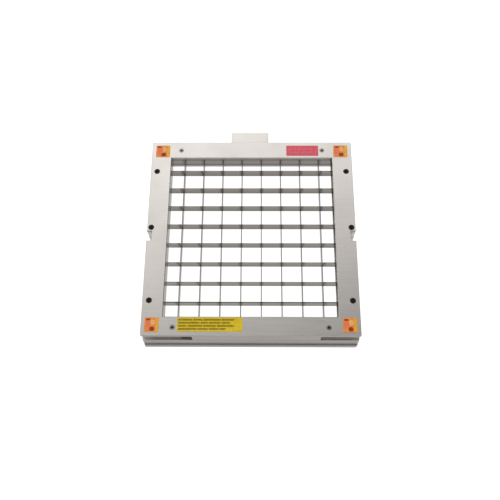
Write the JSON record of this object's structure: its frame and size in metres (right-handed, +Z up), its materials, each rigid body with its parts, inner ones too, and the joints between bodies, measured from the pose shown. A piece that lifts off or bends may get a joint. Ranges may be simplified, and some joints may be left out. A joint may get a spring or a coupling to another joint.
{
  "type": "dicing grid cassette",
  "caption": "Square steel dicing grid cassette for a vegetable dicer: two crossing gangs of parallel blades slide in a stacked plate housing, one driven by a rear tongue.",
  "frame": {"origin": "centre of the bounding box at the underside of the bottom plate", "axes": "+Z up through the cells, towards the face the food enters; +Y to the rear, where the drive tongue comes out; +X to the right, seen from the front"},
  "size_m": [0.204, 0.2302, 0.0352],
  "materials": {
    "plate_steel": "brushed stainless plate",
    "frame_steel": "milled stainless",
    "blade_steel": "ground blade steel with a polished edge",
    "screw_steel": "turned stainless",
    "black_steel": "black oxide",
    "orange_film": "printed film",
    "red_film": "printed film",
    "yellow_film": "printed film",
    "print_dark": "printed ink",
    "print_light": "printed ink"
  },
  "bodies": {
    "housing": {"top_plate": "plate_steel", "separator_frame": "plate_steel", "bottom_plate": "plate_steel", "upper_side_rail_left": "frame_steel", "upper_side_rail_right": "frame_steel", "upper_rear_guide": "frame_steel", "upper_front_guide_left": "frame_steel", "upper_front_guide_right": "frame_steel", "lower_side_rail_left": "frame_steel", "lower_side_rail_right": "frame_steel", "lower_front_wall": "plate_steel", "lower_rear_wall": "plate_steel", "stack_bolt_1": "black_steel", "stack_bolt_2": "black_steel", "stack_bolt_3": "black_steel", "stack_bolt_4": "black_steel", "stack_bolt_5": "black_steel", "stack_bolt_6": "black_steel", "cover_screw_1": "screw_steel", "cover_screw_2": "screw_steel", "cover_screw_3": "screw_steel", "cover_screw_4": "screw_steel", "orange_label_front_left": "orange_film", "orange_label_rear_left": "orange_film", "orange_label_front_right": "orange_film", "orange_label_rear_right": "orange_film", "red_label": "red_film", "yellow_label": "yellow_film"},
    "cross_gang": {"cross_gang_frame": "frame_steel", "cross_tension_bar": "frame_steel", "cross_blade_1": "blade_steel", "cross_blade_2": "blade_steel", "cross_blade_3": "blade_steel", "cross_blade_4": "blade_steel", "cross_blade_5": "blade_steel", "cross_blade_6": "blade_steel", "cross_blade_7": "blade_steel", "cross_blade_8": "blade_steel", "cross_blade_rod_left": "screw_steel", "cross_blade_rod_right": "screw_steel", "cross_tension_screw_front": "black_steel", "cross_tension_screw_rear": "black_steel", "cross_drive_block": "plate_steel", "drive_block_screw_left": "screw_steel", "drive_block_screw_right": "screw_steel"},
    "long_gang": {"long_gang_frame": "frame_steel", "long_tension_bar": "frame_steel", "long_blade_1": "blade_steel", "long_blade_2": "blade_steel", "long_blade_3": "blade_steel", "long_blade_4": "blade_steel", "long_blade_5": "blade_steel", "long_blade_6": "blade_steel", "long_blade_7": "blade_steel", "long_blade_8": "blade_steel", "long_blade_rod_rear": "screw_steel", "long_blade_rod_front": "screw_steel", "long_tension_screw_right": "black_steel", "long_tension_screw_left": "black_steel", "long_drive_tongue": "plate_steel"}
  },
  "joints": [
    {"name": "cross_slide", "type": "slide", "parent": "housing", "child": "cross_gang", "axis": [1, 0, 0], "range_m": [-0.006, 0]},
    {"name": "long_slide", "type": "slide", "parent": "housing", "child": "long_gang", "axis": [0, 1, 0], "range_m": [-0.006, 0]}
  ]
}
